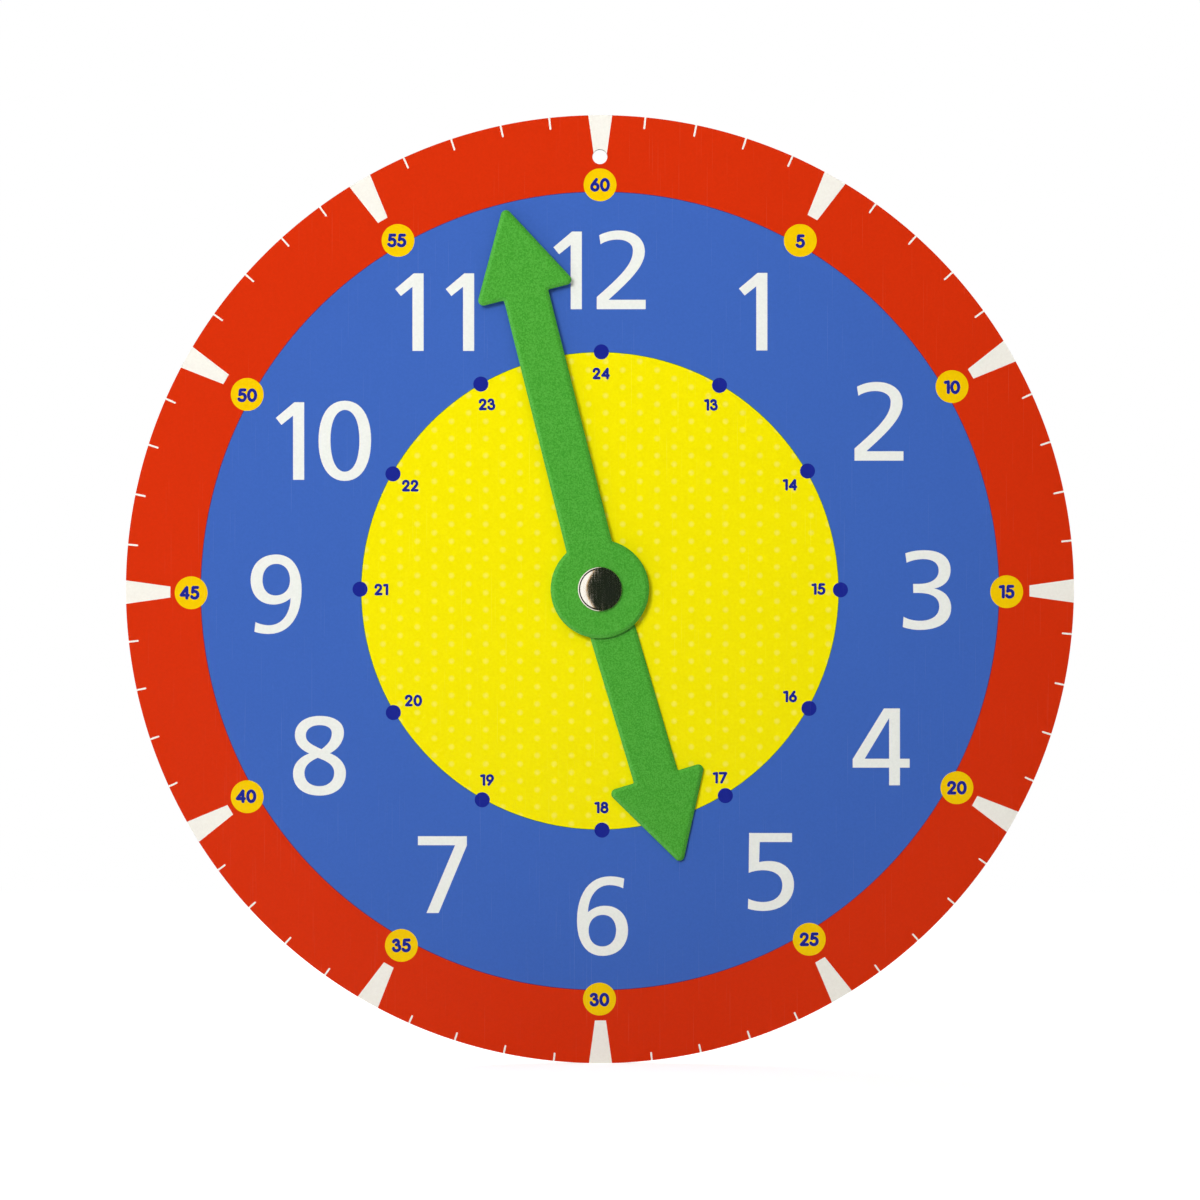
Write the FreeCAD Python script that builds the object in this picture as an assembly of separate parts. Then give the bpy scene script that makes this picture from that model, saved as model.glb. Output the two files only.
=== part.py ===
"""Teaching clock: a card dial with two friction-held plastic hands on one double-cap rivet.

All lengths are in millimetres and all angles in degrees. The dial hangs upright: +Z is up towards
12 o'clock, +X is towards 3 o'clock, and the printed face looks along -Y. The origin is on the
hanging hole's axis, at the back of the dial.
"""

import FreeCAD, Part

import math
import os

from FreeCAD import Vector

# Dial
disc_radius = 105.0
core_thickness = 2.0
dial_sheet_thickness = 0.2
back_sheet_thickness = 0.15
hanging_hole_radius = 1.65
hanging_hole_inset = 9.2
rivet_hole_clearance = 0.1

# Hands
hand_thickness = 1.2
hub_radius = 10.9
shaft_root_width = 10.4
shaft_neck_width = 10.1
head_length = 19.35
head_side_angle = 29.0
head_corner_round = 1.15
inner_corner_round = 0.35
front_edge_bevel = 0.3
hour_reach = 62.7
minute_reach = 86.4
hour_angle = 163.4
minute_angle = 345.9

# Washers
washer_thickness = 0.25
washer_radius = 4.5

# Double-cap rivet
cap_radius = 4.95
cap_rise = 1.9
cap_wall = 0.3
cap_lap = 1.1
rim_height = 0.6
rim_shoulder = 0.3
rim_bevel = 0.25
flange_clearance = 0.05
shank_radius = 2.0
tube_wall = 0.35
turning_clearance = 0.06
post_clearance = 0.03
post_spread = 0.4
post_head_bevel = 0.3
post_tip_rise = 1.15
socket_end_gap = 0.2

# Depths in front of the dial's back face
core_back = back_sheet_thickness
dial_sheet_back = core_back + core_thickness
dial_front = dial_sheet_back + dial_sheet_thickness
hour_back = dial_front + washer_thickness
hour_front = hour_back + hand_thickness
minute_back = hour_front + washer_thickness
minute_front = minute_back + hand_thickness

# Sizes that follow from the fits
pivot_height = -(disc_radius - hanging_hole_inset)
turning_bore = shank_radius + turning_clearance
rivet_hole = shank_radius + rivet_hole_clearance
post_radius = shank_radius - tube_wall - post_clearance
flange_radius = cap_radius - cap_wall - flange_clearance
flange_top = cap_wall + tube_wall

PIVOT = Vector(0, 0, pivot_height)
FORWARD = Vector(0, -1, 0)
FULL_TURN = 360.0
RIGHT_ANGLE = 90.0


def polar(centre, radius, angle):
    """Return the point at that radius and angle from a centre, both in the X-Y plane."""
    turn = math.radians(angle)
    return centre + Vector(math.cos(turn), math.sin(turn), 0) * radius


def line(start, end):
    """Return a straight edge."""
    return Part.makeLine(start, end)


def arc(centre, radius, start_angle, end_angle):
    """Return an arc edge that turns from one angle to the other."""
    middle = polar(centre, radius, (start_angle + end_angle) / 2)
    start = polar(centre, radius, start_angle)
    end = polar(centre, radius, end_angle)
    return Part.Arc(start, middle, end).toShape()


def spin(edges):
    """Turn a closed profile once round the Y axis; X is the radius and Y the height."""
    face = Part.Face(Part.Wire(Part.__sortEdges__(edges)))
    return face.revolve(Vector(0, 0, 0), Vector(0, 1, 0), FULL_TURN)


def seat_forward(solid, depth):
    """Stand a spun solid on the pivot with its height pointing out of the dial's face."""
    solid.rotate(Vector(0, 0, 0), Vector(0, 0, 1), 2 * RIGHT_ANGLE)
    solid.translate(PIVOT + FORWARD * depth)
    return solid


def seat_backward(solid, depth):
    """Stand a spun solid on the pivot with its height pointing out of the dial's back."""
    solid.translate(PIVOT + FORWARD * depth)
    return solid


def disc(radius, back, front, centre):
    """Return a round plate between two depths."""
    return Part.makeCylinder(radius, front - back, centre + FORWARD * back, FORWARD)


def dial_layer(back, front):
    """Return one layer of the dial, with the rivet's hole and the hanging hole through it."""
    layer = disc(disc_radius, back, front, PIVOT)
    layer = layer.cut(disc(rivet_hole, back, front, PIVOT))
    return layer.cut(disc(hanging_hole_radius, back, front, Vector(0, 0, 0)))


def washer(back):
    """Return a thin washer that turns freely on the rivet's tube."""
    plate = disc(washer_radius, back, back + washer_thickness, PIVOT)
    return plate.cut(disc(turning_bore, back, back + washer_thickness, PIVOT))


def plate_from(points):
    """Return a flat plate as thick as a hand from its corner points."""
    outline = Part.makePolygon(points + points[:1])
    return Part.Face(outline).extrude(Vector(0, 0, hand_thickness))


def upright_edges(solid, is_wanted):
    """Return the edges that run through the plate's thickness at the places wanted."""
    upright = [edge for edge in solid.Edges
               if abs(edge.BoundBox.ZLength - hand_thickness) < edge.Tolerance
               and edge.BoundBox.DiagonalLength - hand_thickness < edge.Tolerance]
    return [edge for edge in upright if is_wanted(edge.CenterOfMass)]


def arrowhead(barb, reach):
    """Return the head: a triangle whose three corners are rounded, its tip at the reach."""
    half_tip = math.radians(head_side_angle)
    apex = reach + head_corner_round * (1 / math.sin(half_tip) - 1)
    half_width = (apex - barb) * math.tan(half_tip)
    corners = [Vector(-half_width, barb, 0), Vector(half_width, barb, 0), Vector(0, apex, 0)]
    head = plate_from(corners)
    return head.makeFillet(head_corner_round, upright_edges(head, lambda point: True))


def hand(reach):
    """Return a moulded hand that lies in the X-Y plane and points along +Y from its pivot."""
    barb = reach - head_length
    root = shaft_root_width / 2
    neck = shaft_neck_width / 2
    hub = Part.makeCylinder(hub_radius, hand_thickness)
    shaft = plate_from([Vector(-root, 0, 0), Vector(root, 0, 0),
                        Vector(neck, barb + head_corner_round, 0),
                        Vector(-neck, barb + head_corner_round, 0)])
    body = hub.fuse([shaft, arrowhead(barb, reach)]).removeSplitter()
    inner = upright_edges(body, lambda point: abs(point.x) <= max(root, neck)
                          and 0 < point.y < barb + inner_corner_round)
    body = body.makeFillet(inner_corner_round, inner)
    front = [edge for edge in body.Edges
             if abs(edge.BoundBox.ZMin - hand_thickness) < edge.Tolerance]
    body = body.makeChamfer(front_edge_bevel, front)
    return body.cut(Part.makeCylinder(turning_bore, hand_thickness))


def set_hand(solid, back, angle):
    """Stand a hand on the pivot with its rounded side forward, turned clockwise from 12."""
    solid.rotate(Vector(0, 0, 0), Vector(1, 0, 0), RIGHT_ANGLE)
    solid.rotate(Vector(0, 0, 0), Vector(0, 1, 0), angle)
    solid.translate(PIVOT + FORWARD * back)
    return solid


def profile(points):
    """Return the straight edges that join a row of (radius, height) points."""
    corners = [Vector(radius, height, 0) for radius, height in points]
    return [line(start, end) for start, end in zip(corners, corners[1:])]


def rivet_cap():
    """Return a pressed cap: a shallow dome whose rim is rolled down and under a flange.

    The dome's arc is centred on the axis and runs from the rim's shoulder up to the cap's rise.
    Inside, where nothing shows it, the ceiling is two slopes that meet one wall below the middle of
    the arc, so the sheet is nowhere thinner than its wall. The pocket holds the flange.
    """
    dome_edge = cap_radius - rim_shoulder
    dome_foot = rim_height + rim_shoulder
    dome_rise = cap_rise - dome_foot
    dome_radius = (dome_edge ** 2 + dome_rise ** 2) / (2 * dome_rise)
    dome = Vector(0, cap_rise - dome_radius, 0)
    foot_angle = math.degrees(math.acos(dome_edge / dome_radius))
    ceiling = polar(dome, dome_radius - cap_wall, (foot_angle + RIGHT_ANGLE) / 2)
    lap = cap_radius - cap_lap
    pocket = cap_radius - cap_wall
    rim = profile([(lap, 0), (cap_radius - rim_bevel, 0), (cap_radius, rim_bevel),
                   (cap_radius, rim_height), (dome_edge, dome_foot)])
    inside = profile([(0, cap_rise), (0, cap_rise - cap_wall), (ceiling.x, ceiling.y),
                      (pocket, flange_top + flange_clearance), (pocket, cap_wall), (lap, cap_wall),
                      (lap, 0)])
    return spin(rim + [arc(dome, dome_radius, foot_angle, RIGHT_ANGLE)] + inside)


def mitre(wall):
    """Return how far a wall's inner corner lies past its outer one where it turns by 45 degrees."""
    return wall * math.tan(math.radians(RIGHT_ANGLE / 4))


def flanged_tube(outer_radius, end_points):
    """Return a drawn tube with a flange on it that lies on the cap's rolled lap.

    Between tube and flange the wall slopes at 45 degrees, so the tube has a cone-shaped throat.
    The points given close the profile below the throat, from its bore round to its outside.
    """
    shift = mitre(tube_wall)
    bore = outer_radius - tube_wall
    throat_top = outer_radius + cap_wall - shift
    collar = [(outer_radius, 0), (outer_radius + cap_wall, cap_wall), (flange_radius, cap_wall),
              (flange_radius, flange_top), (throat_top, flange_top), (bore, shift)]
    return spin(profile(collar + end_points + collar[:1]))


def front_socket():
    """Return the rivet's tube: flanged under the front cap and open at the back."""
    end = socket_end_gap - minute_front
    return flanged_tube(shank_radius, [(shank_radius - tube_wall, end), (shank_radius, end)])


def rear_post():
    """Return the rivet's post: flanged under the rear cap, its end spread in the tube's throat.

    Heights point out of the dial's back, so the spread end has negative heights. Its neck slopes
    beside the throat with the post's clearance, and its end is pressed flat below the front cap.
    """
    bore = post_radius - tube_wall
    neck = -(minute_front + mitre(tube_wall + post_clearance))
    head_radius = post_radius + post_spread
    tip = -(minute_front + post_tip_rise)
    head = [(0, tip + tube_wall), (0, tip), (head_radius - post_head_bevel, tip),
            (head_radius, tip + post_head_bevel), (head_radius, neck - post_spread), (post_radius, neck)]
    return flanged_tube(post_radius, [(bore, tip + tube_wall)] + head)


def pieces():
    """Return every piece of the clock by its name."""
    return {
        "board_core": dial_layer(core_back, dial_sheet_back),
        "dial_sheet": dial_layer(dial_sheet_back, dial_front),
        "back_sheet": dial_layer(0, core_back),
        "hour_washer": washer(dial_front),
        "hour_hand": set_hand(hand(hour_reach), hour_back, hour_angle),
        "minute_washer": washer(hour_front),
        "minute_hand": set_hand(hand(minute_reach), minute_back, minute_angle),
        "front_cap": seat_forward(rivet_cap(), minute_front),
        "front_socket": seat_forward(front_socket(), minute_front),
        "rear_post": seat_backward(rear_post(), 0),
        "rear_cap": seat_backward(rivet_cap(), 0),
    }


def main():
    """Write each piece to its own STEP file."""
    os.makedirs("parts", exist_ok=True)
    for name, shape in pieces().items():
        shape.exportStep("parts/" + name + ".step")
        print(name, "valid", shape.isValid(), "solids", len(shape.Solids), "volume", round(shape.Volume, 3))


main()
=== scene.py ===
# %% [markdown]
# # A teaching clock: printed card, moulded hands, one pressed rivet
# The real thing is a disc of greyboard 210 mm across with a printed sheet under clear film on its
# face. Two green plastic hands turn by friction on a rivet with a pressed cap at each end.
# The solid pieces come with the frame at their real size. This lesson gives them their looks.
# Every length below is in millimetres until a mesh is made, as Blender's own unit is the metre.

import math
import re

import bmesh
import bpy
import numpy as np
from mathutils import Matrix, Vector
from mathutils.geometry import delaunay_2d_cdt


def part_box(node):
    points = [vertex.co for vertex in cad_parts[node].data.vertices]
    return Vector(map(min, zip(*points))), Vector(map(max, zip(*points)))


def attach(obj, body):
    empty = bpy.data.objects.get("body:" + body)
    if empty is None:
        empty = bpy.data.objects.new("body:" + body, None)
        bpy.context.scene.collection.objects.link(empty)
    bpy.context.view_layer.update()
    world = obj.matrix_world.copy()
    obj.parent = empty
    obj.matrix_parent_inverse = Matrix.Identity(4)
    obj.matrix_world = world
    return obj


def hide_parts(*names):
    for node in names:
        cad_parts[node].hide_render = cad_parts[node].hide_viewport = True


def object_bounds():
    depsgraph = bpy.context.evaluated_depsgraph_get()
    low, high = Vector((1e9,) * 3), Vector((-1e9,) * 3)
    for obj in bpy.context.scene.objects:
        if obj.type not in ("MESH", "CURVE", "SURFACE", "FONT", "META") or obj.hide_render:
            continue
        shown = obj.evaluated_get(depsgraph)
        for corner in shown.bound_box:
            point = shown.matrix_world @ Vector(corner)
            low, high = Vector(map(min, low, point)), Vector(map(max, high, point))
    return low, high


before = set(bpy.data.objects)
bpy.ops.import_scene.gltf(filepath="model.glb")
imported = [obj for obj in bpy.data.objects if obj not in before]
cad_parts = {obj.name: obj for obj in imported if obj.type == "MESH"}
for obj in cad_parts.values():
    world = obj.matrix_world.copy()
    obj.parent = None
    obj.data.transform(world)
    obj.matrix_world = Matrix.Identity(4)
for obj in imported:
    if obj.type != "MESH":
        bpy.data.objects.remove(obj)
cad_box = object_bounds()
MM = 0.001

print("pieces in the frame:", sorted(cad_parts))

# %% [markdown]
# ## Where things are
# Nothing here is placed by eye. The rivet's axis, the faces of the card and the faces of the hands
# are read from the frame, so the new surfaces land where the solid ones are.
# The dial faces -Y. A depth is how far a face lies in front of the dial's back, which is at zero.

# %% Read the rivet's place and the depths
def depths(node):
    """Return a node's back and front depth in millimetres: minus its highest and its lowest Y."""
    low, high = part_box(node)
    return -high.y / MM, -low.y / MM


cap_low, cap_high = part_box("front_cap")
PIVOT = (cap_low + cap_high) / 2 / MM
PIVOT_X, PIVOT_Z = 0.0, round(PIVOT.z, 3)
HANGING_HOLE = np.array([0.0, -PIVOT_Z])

for node in sorted(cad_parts):
    print(node, "depths", [round(depth, 3) for depth in depths(node)])

# %% [markdown]
# ## From rows of points to a mesh
# All the flat work happens on paper, so to speak: points are (x, y) in millimetres, measured from
# the rivet's axis, with x to 3 o'clock and y to 12 o'clock. One function stands them up in the
# frame. A mesh made from separate strips has double points along its seams. They are merged, and
# then the normals are worked out anew, which on a closed shell makes every face look outwards.

# %% Stand points up and close a mesh
MERGE = 1e-7
SHARP_ANGLE = math.radians(35)


def stand_up(flat, depth):
    """Return points in the frame, in metres: x and y from the rivet's axis, and minus the depth."""
    x, y = flat[..., 0], flat[..., 1]
    return np.stack([PIVOT_X + x, -depth + 0 * x, PIVOT_Z + y], -1).reshape(-1, 3) * MM


def make_piece(name, strips, body, replaced=()):
    """Join strips, each a pair of points and faces, into one closed mesh that rides on a body."""
    counts = np.cumsum([0] + [len(points) for points, _ in strips])
    points = np.concatenate([points for points, _ in strips])
    faces = [face for (_, part), start in zip(strips, counts) for face in (part + start).tolist()]
    mesh = bpy.data.meshes.new(name)
    mesh.from_pydata(points.tolist(), [], faces)
    work = bmesh.new()
    work.from_mesh(mesh)
    bmesh.ops.remove_doubles(work, verts=work.verts, dist=MERGE)
    bmesh.ops.recalc_face_normals(work, faces=work.faces)
    open_edges = sum(not edge.is_manifold for edge in work.edges)
    work.to_mesh(mesh)
    work.free()
    mesh.shade_smooth()
    mesh.set_sharp_from_angle(angle=SHARP_ANGLE)
    piece = bpy.data.objects.new(name, mesh)
    bpy.context.scene.collection.objects.link(piece)
    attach(piece, body)
    if replaced:
        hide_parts(*replaced)
    print(name, "faces", len(mesh.polygons), "open edges", open_edges)
    return piece


def grid_faces(rows, columns):
    """Return the quads of a grid whose columns close into a ring and whose rows do not."""
    row, column = np.meshgrid(np.arange(rows - 1), np.arange(columns), indexing="ij")
    beside = (column + 1) % columns
    corners = [row * columns + column, row * columns + beside,
               (row + 1) * columns + beside, (row + 1) * columns + column]
    return np.stack(corners, -1).reshape(-1, 4)


# %% [markdown]
# ## Cutting a plane along outlines
# The printed inks here meet edge to edge. A constrained Delaunay triangulation takes any number of
# closed outlines, crossing or nested, and returns triangles that never cross an outline, with a
# list of the outlines that hold each triangle. One call serves the print and every flat face, and
# no shape has to be cut from another one with a boolean modifier.

# %% Triangulate a set of outlines
CUT_TOLERANCE = 1e-5
TRIANGLES_INSIDE = 1


def anticlockwise(outline):
    """Return the outline with its inside on the left: the sum of x dy - y dx is twice its area."""
    x, y = outline.T
    area = np.sum(x * np.roll(y, -1) - y * np.roll(x, -1))
    return outline if area > 0 else outline[::-1]


def cut_plane(outlines):
    """Return the points, the triangles, and a table of which outline holds which triangle."""
    outlines = [anticlockwise(outline) for outline in outlines]
    starts = np.cumsum([0] + [len(outline) for outline in outlines])
    corners = [Vector(point) for point in np.concatenate(outlines)]
    polygons = [list(range(start, end)) for start, end in zip(starts, starts[1:])]
    points, _, triangles, _, _, owners = delaunay_2d_cdt(
        corners, [], polygons, TRIANGLES_INSIDE, CUT_TOLERANCE)
    inside = np.zeros((len(triangles), len(outlines)), bool)
    rows = np.repeat(np.arange(len(triangles)), [len(owner) for owner in owners])
    inside[rows, np.concatenate(owners).astype(int)] = True
    return np.array(points), np.array(triangles), inside


def circle(radius, steps, centre=(0.0, 0.0)):
    """Return points round a circle: the centre plus the radius times (cos, sin) of the angle."""
    turn = np.linspace(0, 2 * np.pi, steps, endpoint=False)[:, None]
    return np.array(centre) + radius * np.hstack([np.cos(turn), np.sin(turn)])


# %% [markdown]
# ## Plates with a shaped rim
# The card, its papers and the hands are all flat plates: only their outlines and the sections of
# their rims differ. So one function carries a rim section round each outline and fills the two
# faces in between. A rim that is carried along its outline keeps the same roundness everywhere,
# which a bevel modifier finds hard where an outline has many short edges.

# %% Carry a rim section round the outlines of a plate
def plate_strips(loops, section):
    """Return the strips of a flat plate.

    A loop is a closed outline with its outward normals; the first loop is the rim, the others are
    holes. The section is rows of (inset, depth) from the back face to the front one. A rim point is
    the outline's point minus the inset times its normal, at that depth.
    """
    insets, levels = np.array(section).T
    strips = []
    rings = [[], []]
    for outline, normals in loops:
        flat = outline[None] - insets[:, None, None] * normals[None]
        strips.append((stand_up(flat, levels[:, None]), grid_faces(len(levels), len(outline))))
        rings[0].append(flat[0])
        rings[1].append(flat[-1])
    for outlines, level in zip(rings, (levels[0], levels[-1])):
        points, triangles, inside = cut_plane(outlines)
        solid = inside[:, 0] & ~inside[:, 1:].any(1)
        strips.append((stand_up(points, level), triangles[solid]))
    return strips


def round_loop(radius, steps, centre=(0.0, 0.0), hole=False):
    """Return a circle and its normals, which point away from the material: into it for a hole."""
    outline = circle(radius, steps, centre)
    normals = (outline - np.array(centre)) / radius
    return outline, -normals if hole else normals


# %% [markdown]
# ## The card
# Greyboard is pressed from waste paper in several plies, and a steel rule cuts the disc out of it.
# The plies stand out as faint ridges on the cut. The section of the rim below has three of them,
# 0.03 mm high, and it is drawn in by as much at both faces of the board.
# Both papers are plain thin plates, since only their cut edges and the back of one of them show.

# %% Make the board and its two papers
DISC_RADIUS = 105.0
HANGING_HOLE_RADIUS = 1.65
RIVET_HOLE_RADIUS = 2.1
RIM_STEPS = 720
HOLE_STEPS = 64
PLY_RIDGE = 0.03
PLIES, STEPS_PER_PLY = 3, 6
INK_AND_FILM = 0.02


def card_loops():
    """Return the three outlines that every layer of the card shares."""
    return [round_loop(DISC_RADIUS, RIM_STEPS),
            round_loop(RIVET_HOLE_RADIUS, HOLE_STEPS, hole=True),
            round_loop(HANGING_HOLE_RADIUS, HOLE_STEPS, HANGING_HOLE, hole=True)]


def ply_section(back, front):
    """Return a rim section whose inset is a ridge height times one minus |sin| of the ply phase."""
    share = np.linspace(0, 1, STEPS_PER_PLY * PLIES + 1)
    inset = PLY_RIDGE * (1 - np.abs(np.sin(np.pi * PLIES * share)))
    return np.stack([inset, back + share * (front - back)], 1)


core_back, core_front = depths("board_core")
liner_back, liner_front = depths("back_sheet")
paper_back, paper_front = depths("dial_sheet")
print_back = paper_front - INK_AND_FILM

board = make_piece("greyboard_disc", plate_strips(card_loops(), ply_section(core_back, core_front)),
                   "dial", ["board_core"])
liner = make_piece("back_liner", plate_strips(card_loops(), [(0, liner_back), (0, liner_front)]),
                   "dial", ["back_sheet"])
paper = make_piece("dial_paper", plate_strips(card_loops(), [(0, paper_back), (0, print_back)]),
                   "dial", ["dial_sheet"])

# %% [markdown]
# ## Drawing with paths
# The twelve hours are set in a clear sans serif. A font file may not come with the lesson, so each
# digit is drawn here as a path: M moves, L goes straight and C bends as a cubic curve, with only
# the points that the shape needs. One unit is a tenth of a picture dot, and a flat-topped digit is
# 768 units high. The first path of a digit is its outside, and any others are the counters left
# open in it. A 9 needs no path of its own, because it is a 6 turned half round.

# %% The large digits
HOUR_UNIT = 0.02215
FLAT_DIGIT_HEIGHT = 768

HOUR_DIGITS = {
    "0": ["M 261,791 C 425,791 524,640 524,395 C 524,145 425,-11 261,-11 C 97,-11 -1,145 -1,390"
          " C -1,640 97,791 261,791",
          "M 264,699 C 350,699 408,585 408,400 C 408,200 350,81 261,81 C 175,81 118,200 118,400"
          " C 118,585 175,699 264,699"],
    "1": ["M 0,619 L 186,776 L 284,776 L 284,0 L 173,0 L 173,642 L 57,549"],
    "2": ["M 25,740 C 90,772 155,787 221,787 C 375,787 481,705 481,576 C 481,430 330,285 118,94"
          " L 489,94 L 489,0 L 0,0 L 0,122 C 250,340 362,455 362,586 C 362,655 300,696 206,696"
          " C 145,696 85,680 38,649"],
    "3": ["M 23,755 C 80,776 145,786 214,786 C 380,786 475,712 475,588 C 475,485 410,420 309,402"
          " C 415,385 481,310 481,208 C 481,70 360,-11 169,-11 C 105,-11 45,0 -3,19 L 5,121"
          " C 50,95 105,80 169,80 C 290,80 362,135 362,223 C 362,312 290,359 150,359 L 102,359"
          " L 100,449 L 160,449 C 280,449 356,500 356,583 C 356,655 300,697 204,697"
          " C 145,697 85,684 35,661"],
    "4": ["M 312,768 L 472,768 L 472,265 L 569,265 L 569,176 L 472,176 L 472,0 L 364,0 L 364,176"
          " L 0,176 L 0,262",
          "M 120,265 L 364,265 L 364,672"],
    "5": ["M 12,768 L 440,768 L 440,678 L 117,678 L 111,476 C 145,485 180,488 215,488"
          " C 370,488 460,385 460,253 C 460,95 340,-11 151,-11 C 95,-11 45,-3 -1,12 L 3,112"
          " C 45,90 95,78 151,78 C 270,78 344,145 344,248 C 344,340 270,396 150,396"
          " C 100,396 50,387 7,370"],
    "6": ["M 471,761 C 425,777 375,784 328,784 C 130,784 -1,620 -1,340 C -1,120 95,-11 253,-11"
          " C 405,-11 509,90 509,245 C 509,395 415,490 280,490 C 210,490 150,463 108,425"
          " C 115,590 200,697 325,697 C 370,697 420,686 460,664",
          "M 258,399 C 345,399 390,330 390,245 C 390,150 335,83 253,83 C 165,83 115,150 115,243"
          " C 115,335 170,399 258,399"],
    "7": ["M 0,768 L 489,768 L 489,676 L 207,0 L 85,0 L 371,678 L 0,678"],
    "8": ["M 270,786 C 420,786 510,720 510,620 C 510,535 455,455 370,412 C 470,375 530,300 530,213"
          " C 530,75 425,-11 266,-11 C 110,-11 1,70 1,208 C 1,300 60,372 164,411"
          " C 70,450 20,515 20,595 C 20,710 120,786 270,786",
          "M 266,694 C 190,694 129,655 129,592 C 129,530 180,500 286,453 C 350,500 389,550 389,613"
          " C 389,665 340,694 266,694",
          "M 249,367 C 160,330 115,280 115,215 C 115,135 175,83 266,83 C 355,83 413,140 413,215"
          " C 413,285 365,325 249,367"],
}

print("large digits are", round(FLAT_DIGIT_HEIGHT * HOUR_UNIT, 2), "mm high")

# %% [markdown]
# A path is read command by command. A curve starts where the last command ended, so C names only
# three more points: two that pull the curve towards them and the one where it ends.

# %% Read a path
CURVE_STEPS = 12
SIX_BOX = np.array([508.0, 773.0])


def read_path(text):
    """Return the points of a drawn path.

    A point on a curve is its four control points weighted by (1-t)^3, 3(1-t)^2 t, 3(1-t) t^2, t^3.
    """
    t = np.linspace(0, 1, CURVE_STEPS + 1)[1:, None]
    weights = (1 - t) ** 3, 3 * (1 - t) ** 2 * t, 3 * (1 - t) * t ** 2, t ** 3
    runs = []
    for command, numbers in re.findall("([MLC])([^MLC]*)", text):
        points = np.array(numbers.replace(",", " ").split(), float).reshape(-1, 2)
        if command == "C":
            controls = [runs[-1][-1], *points]
            points = sum(weight * control for weight, control in zip(weights, controls))
        runs.append(points)
    points = np.concatenate(runs)
    closed = np.allclose(points[0], points[-1])
    return points[:-1] if closed else points


def hour_digit(digit):
    """Return a large digit's outlines in millimetres; a 9 is a 6 turned half round in its box."""
    if digit == "9":
        return [(SIX_BOX - read_path(path)) * HOUR_UNIT for path in HOUR_DIGITS["6"]]
    return [read_path(path) * HOUR_UNIT for path in HOUR_DIGITS[digit]]


print("a large 8 has", len(hour_digit("8")), "outlines")

# %% [markdown]
# ## Drawing with a round nib
# The minutes and the afternoon hours are small and bold, with round ends, as if drawn with a felt
# pen. So that is how they are made: each digit is a few strokes of one nib. A stroke's outline is
# its line moved out to both sides, with half a circle at each end. O is a closed round stroke with
# its centre and its two half widths. The nib's middle runs between 90 and 910 units in height, and
# the nib itself is 252 units wide, so the numbers come out fat.

# %% The small digits
SMALL_DIGITS = {
    "0": (720, ["O 360,500 270,410"]),
    "1": (415, ["M 90,870 L 325,910", "M 325,910 L 325,90"]),
    "2": (660, ["M 92,690 C 95,830 190,910 315,910 C 450,910 545,825 545,700"
                " C 545,600 480,520 400,430 L 95,90", "M 95,90 L 570,90"]),
    "3": (660, ["M 105,775 C 135,860 205,910 295,910 C 400,910 480,840 480,735"
                " C 480,630 410,555 310,555",
                "M 310,555 C 460,555 570,465 570,325 C 570,185 460,90 320,90"
                " C 200,90 115,160 90,275"]),
    "4": (725, ["M 530,90 L 530,905", "M 530,905 L 92,315", "M 92,315 L 635,315"]),
    "5": (670, ["M 215,910 L 555,910", "M 215,910 L 165,545",
                "M 165,545 C 215,585 270,605 335,605 C 480,605 580,495 580,350"
                " C 580,200 470,90 325,90 C 220,90 130,140 92,215"]),
    "6": (670, ["M 455,910 L 138,481", "O 335,335 245,245"]),
    "7": (715, ["M 90,910 L 625,910", "M 625,910 L 225,90"]),
    "8": (690, ["O 345,725 205,185", "O 345,315 255,225"]),
    "9": (670, ["M 215,90 L 532,519", "O 335,665 245,245"]),
}

print("small digits", len(SMALL_DIGITS), "strokes", sum(len(s) for _, s in SMALL_DIGITS.values()))

# %% [markdown]
# The sides of a stroke lie one nib radius to the left and to the right of its line. The gradient of
# the line's points is its direction at each of them, and a quarter turn of that points to the side.

# %% Draw with the nib
NIB = 126.0
SMALL_DIGIT_MIDDLE = 500.0
CAP_STEPS = 7
RING_STEPS = 36


def nib_stroke(line):
    """Return the outline of an open stroke: its two sides, and a half circle round each end."""
    along = np.gradient(line, axis=0)
    along /= np.linalg.norm(along, axis=1)[:, None]
    across = np.stack([-along[:, 1], along[:, 0]], 1)
    turn = np.linspace(np.pi / 2, -np.pi / 2, CAP_STEPS)[1:-1, None]
    far_end = line[-1] + NIB * (np.cos(turn) * along[-1] + np.sin(turn) * across[-1])
    near_end = line[0] - NIB * (np.cos(turn) * along[0] + np.sin(turn) * across[0])
    return np.concatenate([line + NIB * across, far_end, (line - NIB * across)[::-1], near_end])


def nib_ring(centre, half_sizes, side):
    """Return an ellipse moved out or in by the nib's radius along its own normals."""
    unit = circle(1.0, RING_STEPS)
    normal = unit / half_sizes
    normal /= np.linalg.norm(normal, axis=1)[:, None]
    return centre + unit * half_sizes + side * NIB * normal


def small_digit(digit):
    """Return a small digit's strokes, each an outline with its counters, in units."""
    strokes = []
    for text in SMALL_DIGITS[digit][1]:
        if text.startswith("O"):
            centre, half_sizes = np.array(text[1:].replace(",", " ").split(), float).reshape(2, 2)
            strokes.append((nib_ring(centre, half_sizes, 1), [nib_ring(centre, half_sizes, -1)]))
        else:
            strokes.append((nib_stroke(read_path(text)), []))
    return strokes


def small_label(text, centre, scale, gap):
    """Return the strokes of a short number, its digits in a row about its centre."""
    widths = [SMALL_DIGITS[digit][0] for digit in text]
    left = -(sum(widths) + gap * (len(text) - 1)) / 2
    strokes = []
    for digit, width in zip(text, widths):
        start = np.array([left, -SMALL_DIGIT_MIDDLE])
        for outline, counters in small_digit(digit):
            strokes.append(([centre + scale * (start + outline)],
                            [centre + scale * (start + counter) for counter in counters]))
        left += width + gap
    return strokes


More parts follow.
